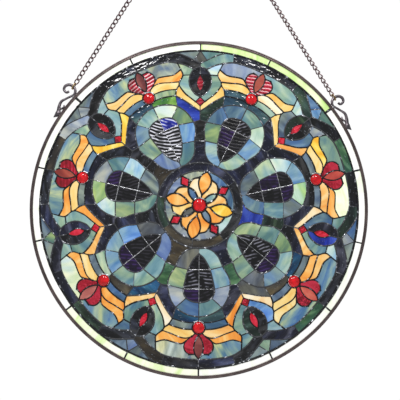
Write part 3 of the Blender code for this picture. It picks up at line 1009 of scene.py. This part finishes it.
def streaked_glass(finish, spot, grained, colours, kind):
    """Colour and bumps of glass that was rolled with streaks along its grain."""
    along, aside, offset = grained
    main, light, dark = colours
    stretched = finish.vector(along * 0.4 + offset, aside, offset)
    mixed = finish.noise(stretched, 34, 2, 0.5, 1.2) * 0.82 + finish.noise(stretched, 120, 3, 0.6, 0.8) * 0.18
    colour = finish.blend(finish.fade(mixed, 0.35, 0.5), dark, main)
    colour = finish.blend(finish.fade(mixed, 0.5, 0.68), colour, light)
    if kind in ("opal", "rolled"):
        apart = finish.noise(finish.vector(along * 0.5 + offset, aside + 7.0, offset), 26, 1, 0.5, 1.0)
        tint = finish.blend(finish.fade(apart, 0.38, 0.62), COOL, WARM)
        colour = finish.blend(1.0, colour, tint, "MULTIPLY")
    if kind == "speckled":
        specks = finish.noise(spot, 330, 2)
        return finish.blend(finish.fade(specks, 0.5, 0.68), colour, light), finish.bump(specks, 0.0006)
    if kind == "rolled":
        rolls = finish.vector(along * 0.45, aside, offset)
        # Painted sparkle: small light marks along the rolls, standing in for highlights
        painted_sparkles = finish.fade(finish.noise(rolls, 420, 2), 0.65, 0.75, 0.0, 0.32)
        return finish.blend(painted_sparkles, colour, PAINTED_SPARKLE), finish.bump(finish.noise(rolls, 200, 1), 0.0012)
    return colour, finish.bump(finish.noise(spot, 110, 2), 0.0005)


# Each metal's dark and light places, its least and most roughness, the scale and height of its
# clouds, and how metallic it is
METALS = {
    "rim_patina": ((0.11, 0.085, 0.083, 1), (0.17, 0.13, 0.125, 1), (0.34, 0.48), 45, 0.0003, 0.9),
    "hook_patina": ((0.11, 0.095, 0.105, 1), (0.27, 0.23, 0.25, 1), (0.24, 0.42), 90, 0.0003, 0.9),
    "chain_copper": ((0.12, 0.075, 0.085, 1), (0.30, 0.19, 0.18, 1), (0.24, 0.42), 200, 0.0003, 0.9),
    "link_brass": ((0.30, 0.19, 0.08, 1), (0.62, 0.44, 0.18, 1), (0.24, 0.42), 200, 0.0003, 0.9),
    "solder_bright": ((0.22, 0.22, 0.23, 1), (0.85, 0.86, 0.88, 1), (0.2, 0.36), 260, 0.0008, 1.0),
}
# Each patina's dark, the silver under it, and where in its clouds the silver starts and is all
PATINAS = {
    "solder_patina": ((0.007, 0.007, 0.009, 1), (0.55, 0.57, 0.60, 1), 0.60, 0.68),
    "solder_worn": ((0.05, 0.052, 0.058, 1), (0.62, 0.64, 0.68, 1), 0.57, 0.67),
}


@once
def metal(name):
    """A metal finish, clouded from dark to light."""
    dark, light, rough, scale, height, metallic = METALS[name]
    finish = Finish(name, Metallic=metallic)
    cloud = finish.noise(finish.spot(), scale, 3, 0.6)
    fine = finish.noise(finish.spot(), scale * 5, 2)
    colour = finish.blend(finish.fade(cloud, 0.42, 0.66), dark, light)
    roughness = finish.fade(fine, 0.3, 0.7, *rough)
    return finish.feed(Base_Color=colour, Roughness=roughness, Normal=finish.bump(cloud + fine * 0.3, height))


@once
def rubbed_solder(name):
    """Solder under a patina, rubbed back to silver in places."""
    dark, silver, low, high = PATINAS[name]
    finish = Finish(name, Specular_IOR_Level=0.3)
    cloud = finish.noise(finish.spot(), 150, 3, 0.6)
    fine = finish.noise(finish.spot(), 700, 2)
    rubbed = finish.fade(cloud, low, high)
    colour = finish.blend(rubbed, dark, silver)
    roughness = finish.fade(rubbed, 0, 1, 0.5, 0.28)
    bumps = finish.bump(cloud + fine * 0.3, 0.0008)
    return finish.feed(Base_Color=colour, Metallic=rubbed, Roughness=roughness, Normal=bumps)


@once
def jewel_glass(name):
    """Clear red glass, clouded from deep to bright, with a painted glow: its colour is also given off as
    light.
    """
    finish = Finish(name, Roughness=0.12, IOR=1.55, Emission_Strength=0.16)
    cloud = finish.fade(finish.noise(finish.spot(), 130, 2), 0.4, 0.65)
    colour = finish.blend(cloud, (0.42, 0.001, 0.004, 1), (0.80, 0.004, 0.010, 1))
    return finish.feed(Base_Color=colour, Emission_Color=colour)


@once
def floor_paint(name):
    """Pale grey paint, hardly clouded."""
    finish = Finish(name, Roughness=0.7)
    cloud = finish.fade(finish.noise(finish.spot(), 6, 2), 0.3, 0.7)
    return finish.feed(Base_Color=finish.blend(cloud, (0.80, 0.80, 0.79, 1), (0.84, 0.84, 0.83, 1)))


# Operators


# Lamps: name, place from the middle of the panel, size and power
LAMPS = (
    ("key", (-0.55, -1.35, 1.35), 0.4, 17.0),
    ("second", (0.5, -1.3, 1.25), 0.3, 9.0),
    ("rear", (0.0, 1.8, 0.6), 1.2, 14.0),
)
# The camera's place from the middle of the panel, and the directions to its right and ahead
CAMERA_PLACE = Vector((-0.0053, -0.7202, -0.0409))
CAMERA_RIGHT = Vector((0.99994, -0.0091, 0.0065))
CAMERA_AHEAD = Vector((0.0086, 0.9975, 0.0697))


def light_room(scene):
    """White behind the panel, and a soft even light all round it."""
    world = bpy.data.worlds.new("studio")
    scene.world = world
    world.use_nodes = True
    nodes = Nodes(world.node_tree)
    nodes.tree.nodes.remove(nodes.tree.nodes["Background"])
    room = nodes.add("ShaderNodeBackground", None, {"Color": (0.95, 0.97, 1, 1), "Strength": 0.45})
    backdrop = nodes.add("ShaderNodeBackground", None, {"Color": (1, 1, 1, 1), "Strength": 1.02})
    seen = nodes.add("ShaderNodeLightPath", output="Is Camera Ray")
    mixed = nodes.add("ShaderNodeMixShader", None, {0: seen, 1: room, 2: backdrop})
    nodes.put(nodes.tree.nodes["World Output"].inputs["Surface"], mixed)


def set_lamps(scene):
    """The lamps, each turned to the middle of the panel."""
    for name, spot, size, power in LAMPS:
        light = bpy.data.lights.new(name, "AREA")
        light.size = size
        light.energy = power
        lamp = bpy.data.objects.new(name, light)
        scene.collection.objects.link(lamp)
        lamp.location = CENTRE + Vector(spot)
        lamp.rotation_euler = (-Vector(spot)).to_track_quat("-Z", "Y").to_euler()


def set_camera(scene):
    """The camera, at the photograph's viewing angle."""
    camera = bpy.data.cameras.new("camera")
    camera.sensor_width = 36
    camera.lens = 36
    camera.clip_start = 0.01
    right = CAMERA_RIGHT.normalized()
    ahead = CAMERA_AHEAD.normalized()
    up = right.cross(ahead)
    right = ahead.cross(up)
    turn = Matrix((right, up, -ahead)).transposed().to_4x4()
    scene.camera = bpy.data.objects.new("camera", camera)
    scene.collection.objects.link(scene.camera)
    scene.camera.matrix_world = Matrix.Translation(CENTRE + CAMERA_PLACE) @ turn


class PANEL_OT_stage(bpy.types.Operator):
    """Makes the pale floor, the soft light and the camera"""

    bl_idname = "glass_panel.stage"
    bl_label = "Stage"

    def execute(self, context):
        clear_selection()
        bpy.ops.mesh.primitive_circle_add(vertices=64, radius=0.9, fill_type="NGON", location=(0, 0, -1.4))
        floor = made_of(context.active_object, floor_paint("floor_paint"))
        floor.name = "floor"
        light_room(context.scene)
        set_lamps(context.scene)
        set_camera(context.scene)
        context.scene.view_settings.view_transform = "Standard"
        return {"FINISHED"}


# The rim's section: how far in from its edge, as a share of its face, and how far back from the
# middle, as a share of half its depth
RIM_PROFILE = (
    (0.0, -0.55), (0.0, 0.55), (0.10, 0.86), (0.28, 0.99), (0.44, 0.96), (0.52, 0.84), (0.60, 0.84),
    (0.68, 0.97), (0.92, 0.97), (1.0, 0.86), (1.0, -0.86), (0.92, -0.97), (0.68, -0.97),
    (0.60, -0.84), (0.52, -0.84), (0.44, -0.96), (0.28, -0.99), (0.10, -0.86),
)


class PANEL_OT_rim(bpy.types.Operator):
    """Makes the metal rim, a channel spun round the panel"""

    bl_idname = "glass_panel.rim"
    bl_label = "Rim"

    def execute(self, context):
        clear_selection()
        face = sizes().rim_face
        half = sizes().rim_depth / 2
        bpy.ops.mesh.primitive_circle_add(vertices=len(RIM_PROFILE), radius=0.003, location=CENTRE)
        bpy.ops.object.transform_apply(location=True, rotation=True, scale=True)
        bpy.ops.object.mode_set(mode="EDIT")
        shape = bmesh.from_edit_mesh(context.active_object.data)
        shape.verts.ensure_lookup_table()
        for corner, (inwards, deep) in zip(shape.verts, RIM_PROFILE):
            corner.co = CENTRE + Vector((0, deep * half, RIM_RADIUS - inwards * face))
        bmesh.update_edit_mesh(context.active_object.data)
        bpy.ops.mesh.select_all(action="SELECT")
        bpy.ops.mesh.spin(steps=168, angle=2 * math.pi, center=CENTRE, axis=(0, 1, 0), use_auto_merge=True)
        bpy.ops.mesh.select_all(action="SELECT")
        bpy.ops.mesh.remove_doubles(threshold=0.00005)
        bpy.ops.mesh.normals_make_consistent(inside=False)
        bpy.ops.object.mode_set(mode="OBJECT")
        smooth_faces(50)
        made_of(finished("rim_band", "bronze_metal", "rim"), metal("rim_patina"))
        return {"FINISHED"}


class PANEL_OT_border(bpy.types.Operator):
    """Cuts the fourteen curved border panes"""

    bl_idname = "glass_panel.border"
    bl_label = "Border"

    def execute(self, context):
        under_rim = 0.6
        outer = (RIM_RADIUS - sizes().rim_face) / MILLIMETRE + under_rim
        inner = sizes().border_radius / MILLIMETRE
        panes = []
        for lobe, names in enumerate(BORDER):
            cuts = [lobe_degrees(lobe) + cut for cut in border_cuts(lobe)]
            for sheet, first, last in zip(names.split(), cuts, cuts[1:]):
                outline = joined(arc(outer, first, last, pitch=7), arc(inner, last, first, pitch=7))
                panes.append((outline, sheet))
        cut_panes("border_panes", panes, "cream_glass", "border_glass")
        return {"FINISHED"}


class PANEL_OT_panes(bpy.types.Operator):
    """Cuts the panes of every lobe, eye and gusset"""

    bl_idname = "glass_panel.panes"
    bl_label = "Lobes"

    def execute(self, context):
        for lobe in range(LOBES):
            tiles, drops, fields, eyes, gussets = (table[lobe].split() for table in LOBE_TABLES)
            crescent = lobe_bud()
            field = list(both_sides(lobe_field(), fields))
            field += [(crescent, BUD_CRESCENTS[lobe]), (mirrored(crescent), BUD_CRESCENTS[lobe])]
            field.append((whole(BUD_LEAF), fields[-1]))
            eye = [(across_cusp(outline), sheet) for outline, sheet in zip(eye_side(), eyes[4:8])]
            eye += zip(eye_side(), eyes[:4])
            eye += [(whole(SQUARE, across_cusp), eyes[-1]), (whole(CORE_LINE, across_cusp), eyes[-1])]
            gusset = list(zip((gusset_side(), kite(), across_cusp(gusset_side())), gussets))
            groups = (
                ("petal_tiles", list(both_sides(lobe_tiles(), tiles)), "sea_green_glass"),
                ("petal_drop", list(both_sides(lobe_drop(), drops, suffix="_ripple")), "dark_ripple_glass"),
                ("lobe_field", field, "sea_green_glass"),
                ("eye", eye, "amber_glass"),
                ("gusset", gusset, "steel_blue_glass"),
            )
            for name, panes, slot in groups:
                panes = [(turned(outline, lobe_turn(lobe)), sheet) for outline, sheet in panes]
                cut_panes(f"{name}_panes_{lobe + 1}", panes, slot, f"{name}_{lobe + 1}")
        return {"FINISHED"}


class PANEL_OT_bands(bpy.types.Operator):
    """Cuts the dark bands of arches, scallops and spacers, and the ring round the flower"""

    bl_idname = "glass_panel.bands"
    bl_label = "Dark bands"

    def execute(self, context):
        arches, scallops, ring = [], [], []
        for lobe in range(LOBES):
            turn = lobe_turn(lobe)
            for panes, make, names in ((arches, lobe_arch, ARCHES), (scallops, lobe_scallop, SCALLOPS)):
                side_left, top_left, top_right, side_right = names[lobe].split()
                sheets = [top_left, side_left, top_right, side_right]
                panes += [(turned(outline, turn), sheet) for outline, sheet in both_sides(make(), sheets)]
            for half, sheet in zip(spacer_sides(), SPACERS[lobe].split()):
                ring.append((turned(whole(half, across_cusp), turn), sheet))
        ends = [*RING_JOINTS[1:], RING_JOINTS[0] + 360]
        for first, last, sheet in zip(RING_JOINTS, ends, RING_GLASS.split()):
            ring.append((joined(arc(RING_OUT, first, last), arc(MEDALLION, last, first)), sheet))
        cut_panes("arch_panes", arches, "dark_glass", "arch_bands")
        cut_panes("scallop_panes", scallops, "dark_glass", "scallop_bands")
        cut_panes("ring_and_spacer_panes", ring, "dark_glass", "medallion_ring_and_spacers")
        return {"FINISHED"}


class PANEL_OT_flower(bpy.types.Operator):
    """Cuts the flower in the middle and the ground round it"""

    bl_idname = "glass_panel.flower"
    bl_label = "Flower"

    def execute(self, context):
        petals, leaves = PETAL_GLASS.split(), LEAF_GLASS.split()
        roots, grounds = ROOT_GLASS.split(), GROUND_GLASS.split()
        rim = arc(JEWEL_RIM, 0, FLOWER_LEAF_FOOT, pitch=2)
        leaf = joined(rim, FLOWER_LEAF_LOW, FLOWER_LEAF, run(FLOWER_PETAL, 3, 0)[1:])
        edge = arc(MEDALLION, BETWEEN_DEGREES, 0)
        ground = joined(RUBY, edge, run(FLOWER_PETAL, 4, 3), FLOWER_LEAF[::-1])
        ruby = whole(turned(RUBY, -BETWEEN))
        root = whole(turned(FLOWER_LEAF_LOW, -BETWEEN))
        flower = []
        for petal in range(FLOWER_PETALS):
            turn = FLOWER_TURN + petal * FLOWER_PETAL_TURN
            flower.append((turned(whole(FLOWER_PETAL), turn), petals[petal]))
            flower.append((turned(leaf, turn), leaves[2 * petal]))
            flower.append((turned(mirrored(leaf), turn), leaves[2 * petal + 1]))
            panes = [
                (turned(ruby, turn + BETWEEN), "ruby"),
                (turned(root, turn + BETWEEN), roots[petal]),
                (turned(ground, turn), grounds[2 * petal]),
                (turned(mirrored(ground), turn + FLOWER_PETAL_TURN), grounds[2 * petal + 1]),
            ]
            name, node = f"flower_ground_panes_{petal + 1}", f"medallion_ground_{petal + 1}"
            cut_panes(name, panes, "grey_blue_glass", node)
        cut_panes("flower_panes", flower, "amber_glass", "medallion_flower")
        return {"FINISHED"}


class PANEL_OT_jewels(bpy.types.Operator):
    """Makes the eight round jewels"""

    bl_idname = "glass_panel.jewels"
    bl_label = "Jewels"

    def execute(self, context):
        behind, skirt = 0.0006, 0.002
        spots = [("jewel_centre", at(0, 0), sizes().centre_jewel_radius)]
        for lobe in range(LOBES):
            spot = turned([JEWEL], lobe_turn(lobe))[0]
            spots.append((f"jewel_{lobe + 1}", spot, sizes().jewel_radius))
        for node, spot, radius in spots:
            clear_selection()
            middle = place(spot)
            bpy.ops.mesh.primitive_uv_sphere_add(segments=32, ring_count=16, radius=radius, location=middle)
            piece = context.active_object
            bpy.ops.object.transform_apply(location=True, rotation=True, scale=True)
            bpy.ops.object.mode_set(mode="EDIT")
            back = place(spot, -behind)
            bpy.ops.mesh.bisect(plane_co=back, plane_no=(0, -1, 0), use_fill=True, clear_inner=True)
            bpy.ops.mesh.select_all(action="SELECT")
            share = (sizes().jewel_rise - behind) / (radius - behind)
            bpy.ops.transform.resize(value=(1, share, 1), center_override=back)
            bpy.ops.mesh.select_all(action="DESELECT")
            shape = bmesh.from_edit_mesh(piece.data)
            for face in shape.faces:
                face.select = face.normal.y > 0.99
            bmesh.update_edit_mesh(piece.data)
            bpy.ops.mesh.extrude_region_move(TRANSFORM_OT_translate={"value": (0, skirt, 0)})
            bpy.ops.mesh.select_all(action="SELECT")
            bpy.ops.mesh.normals_make_consistent(inside=False)
            bpy.ops.object.mode_set(mode="OBJECT")
            smooth_faces(50)
            made_of(finished(f"round_{node}", "ruby_glass", node), jewel_glass("jewel_glass"))
        return {"FINISHED"}


class PANEL_OT_solder(bpy.types.Operator):
    """Runs a rounded bead of solder along every line, with a blob at each joint"""

    bl_idname = "glass_panel.solder"
    bl_label = "Solder"

    def execute(self, context):
        chance = random.Random(7)
        radius = sizes().line_width / 2
        deep = sizes().line_depth / sizes().line_width
        near = 1.5
        parts = []
        runs = (
            (rubbed_solder("solder_patina"), dark_lines()),
            (rubbed_solder("solder_worn"), worn_lines()),
            (metal("solder_bright"), bright_lines()),
        )
        for solder, lines in runs:
            lines = list(lines)
            beads = []
            for line, width in lines:
                own = width * chance.uniform(0.9, 1.12)
                shares = [own * chance.uniform(0.92, 1.1) for _ in line]
                beads.append(([place(point) for point in line], shares))
            parts.append(made_of(bead_curve("beads", beads, radius, 2), solder))
            flatten(deep)
            clear_selection()
            bpy.ops.mesh.primitive_uv_sphere_add(segments=8, ring_count=6, radius=radius)
            blob = context.active_object
            blob.data.polygons.foreach_set("use_smooth", [True] * len(blob.data.polygons))
            blobs = {}
            for point, width in [(line[end], width) for line, width in lines for end in (0, -1)]:
                size = width * chance.uniform(1.15, 1.55)
                scale = Matrix.Diagonal((size, deep * min(size, 1.2), size, 1))
                spot = round(point.x / near), round(point.y / near)
                blobs.setdefault(spot, Matrix.Translation(place(point)) @ scale)
            parts.append(made_of(stamped("blobs", blob, blobs.values()), solder))
        join_into(parts[0], parts[1:])
        smooth_faces(70)
        finished("solder_beads", "solder", "solder_lines")
        return {"FINISHED"}


# The hooks' bars: millimetres along the rim and above it, and the share of the bar's width
HOOK_SCROLL = (
    (-1.0, 2.0, 0.9), (4.5, 2.6, 0.95), (9.6, 6.2, 1.0), (12.4, 13.4, 1.05), (9.8, 21.6, 1.05),
    (3.8, 25.2, 1.0), (-1.9, 23.2, 0.95), (-3.9, 18.4, 0.9), (-2.6, 14.6, 0.85), (1.2, 13.6, 0.8),
)
HOOK_LEAF = (
    (1.5, 2.4, 0.8), (-13.0, 8.8, 0.8), (-21.5, 12.0, 1.0), (-30.5, 9.8, 1.15), (-38.0, 5.6, 1.5),
    (-43.5, 4.0, 1.9), (-52.5, 7.0, 0.2),
)
HOOK_CURL = ((-34.0, 7.4, 0.7), (-31.5, 3.4, 0.7), (-27.0, 1.7, 0.75), (-23.6, 3.8, 0.55))
# The solder that holds a hook: millimetres along the rim and above it, and the share of its radius
HOOK_SEATS = ((0.0, 0.4, 1.8), (-42.8, 0.4, 1.5), (3.6, 1.2, 1.0))
SEAT_RADIUS = 0.0022
# Where the chain holds the scroll: millimetres along the rim and above it
HOOK_HELD = (12.4, 13.4)
# Each hook: its side, its degrees round the rim, which way it faces, and its chain's roll in degrees
HOOKS = (("left", -49.4, 1, 12), ("right", 53.3, -1, 20))


def above_rim(degrees, side, along, above):
    """The place that many millimetres along the rim from the angle, and above the rim."""
    radius = RIM_RADIUS / MILLIMETRE
    angle = math.radians(degrees) + along * side / radius
    return at(math.sin(angle), math.cos(angle)) * (radius + above)


class PANEL_OT_hooks(bpy.types.Operator):
    """Makes the two scroll-and-leaf hooks and the solder that holds them on the rim"""

    bl_idname = "glass_panel.hooks"
    bl_label = "Hooks"

    def execute(self, context):
        for word, degrees, side, _ in HOOKS:
            parts = []
            for stations, flat in ((HOOK_SCROLL, 1.0), (HOOK_LEAF, 0.6), (HOOK_CURL, 1.0)):
                spots = smooth([above_rim(degrees, side, along, above) for along, above, _ in stations], 5)
                shares = [share.x for share in smooth([at(share, 0) for _, _, share in stations], 5)]
                line = ([place(spot) for spot in spots], shares)
                parts.append(bead_curve("hook_part", [line], sizes().hook_width / 2, 3))
                flatten(flat)
                made_of(parts[-1], metal("hook_patina"))
            clear_selection()
            bpy.ops.mesh.primitive_uv_sphere_add(segments=16, ring_count=10, radius=SEAT_RADIUS)
            seats = []
            for along, above, size in HOOK_SEATS:
                spot = Matrix.Translation(place(above_rim(degrees, side, along, above)))
                seats.append(spot @ Matrix.Diagonal((size, 0.85, size, 1)))
            seat = made_of(stamped("hook_seat", context.active_object, seats), metal("solder_bright"))
            join_into(parts[0], [*parts[1:], seat])
            smooth_faces(60)
            finished(f"scroll_hook_{word}", "bronze_metal", f"hook_{word}")
        return {"FINISHED"}


class PANEL_OT_chains(bpy.types.Operator):
    """Makes the chains, link by link, from the hooks up to the ring"""

    bl_idname = "glass_panel.chains"
    bl_label = "Chains"

    def execute(self, context):
        wire = sizes().link_wire
        for word, degrees, side, roll in HOOKS:
            held = place(above_rim(degrees, side, *HOOK_HELD))
            ahead = (RING_CENTRE - held).normalized()
            start = held - ahead * (sizes().hook_width / 2 + wire)
            end = RING_CENTRE - ahead * (RING_OUTER - RING_WIRE - wire)
            length = (end - start).length
            count = 2 * round((length / sizes().link_pitch - 1) / 2) + 1
            pitch = (length - wire) / count
            across = ahead.cross(Vector((0, 1, 0))).normalized()
            basis = Matrix((across, ahead, across.cross(ahead))).transposed().to_4x4()
            spots = [start + ahead * (pitch * (number + 0.5) + wire / 2) for number in range(count)]
            places = [Matrix.Translation(spot) @ basis for spot in spots]
            parts = []
            for finish, own, twist, turn in (
                ("chain_copper", places[1:-1], 45, roll),
                ("link_brass", places[:: count - 1], 0, 90),
            ):
                rolled = Matrix.Rotation(math.radians(turn), 4, "Y")
                links = stamped("links", link_shape(pitch, twist), [spot @ rolled for spot in own])
                parts.append(made_of(links, metal(finish)))
            join_into(parts[0], parts[1:])
            smooth_faces(60)
            finished(f"link_chain_{word}", "chain_metal", f"chain_{word}")
        return {"FINISHED"}


def link_shape(pitch, twist):
    """One oval chain link at the origin, along Y, its ends turned that many degrees each way."""
    wire = sizes().link_wire
    round_part = (sizes().link_width - wire) / 2
    clear_selection()
    bpy.ops.mesh.primitive_torus_add(
        major_segments=20,
        minor_segments=8,
        major_radius=round_part,
        minor_radius=wire / 2,
    )
    link = bpy.context.active_object
    bpy.ops.object.mode_set(mode="EDIT")
    shape = bmesh.from_edit_mesh(link.data)
    stretch = (pitch + wire) / 2 - round_part
    for corner in shape.verts:
        if abs(corner.co.y) > 1e-6:
            corner.co.y += math.copysign(stretch, corner.co.y)
        turn = Matrix.Rotation(math.radians(twist) * corner.co.y / (pitch / 2), 3, "Y")
        corner.co = turn @ corner.co
    bmesh.update_edit_mesh(link.data)
    bpy.ops.object.mode_set(mode="OBJECT")
    return link


class PANEL_OT_ring(bpy.types.Operator):
    """Makes the ring that both chains hang from"""

    bl_idname = "glass_panel.ring"
    bl_label = "Hanging ring"

    def execute(self, context):
        clear_selection()
        bpy.ops.mesh.primitive_torus_add(
            major_segments=48,
            minor_segments=14,
            major_radius=RING_OUTER - RING_WIRE / 2,
            minor_radius=RING_WIRE / 2,
            location=RING_CENTRE,
            rotation=(math.pi / 2, 0, 0),
        )
        smooth_faces(60)
        made_of(finished("top_ring", "chain_metal", "hanging_ring"), metal("chain_copper"))
        return {"FINISHED"}


OPERATORS = (
    PANEL_OT_stage,
    PANEL_OT_rim,
    PANEL_OT_border,
    PANEL_OT_panes,
    PANEL_OT_bands,
    PANEL_OT_flower,
    PANEL_OT_jewels,
    PANEL_OT_solder,
    PANEL_OT_hooks,
    PANEL_OT_chains,
    PANEL_OT_ring,
)


class PANEL_PT_glass(bpy.types.Panel):
    """Lists the panel's sizes and what makes each of its pieces"""

    bl_label = "Glass Panel"
    bl_idname = "PANEL_PT_glass"
    bl_space_type = "VIEW_3D"
    bl_region_type = "UI"
    bl_category = "Glass Panel"

    def draw(self, context):
        for name in PanelSizes.__annotations__:
            self.layout.prop(context.scene.panel_sizes, name)
        for operator in OPERATORS:
            self.layout.operator(operator.bl_idname)
        for name in GlassColours.__annotations__:
            self.layout.prop(context.scene.glass_colours, name)


CLASSES = (PanelSizes, GlassColours, *OPERATORS, PANEL_PT_glass)


def register():
    for made in CLASSES:
        bpy.utils.register_class(made)
    bpy.types.Scene.panel_sizes = bpy.props.PointerProperty(type=PanelSizes)
    bpy.types.Scene.glass_colours = bpy.props.PointerProperty(type=GlassColours)


def unregister():
    del bpy.types.Scene.glass_colours
    del bpy.types.Scene.panel_sizes
    for made in reversed(CLASSES):
        bpy.utils.unregister_class(made)


def main():
    register()
    for operator in OPERATORS:
        group, name = operator.bl_idname.split(".")
        getattr(getattr(bpy.ops, group), name)()
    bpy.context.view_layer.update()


if __name__ == "__main__":
    main()
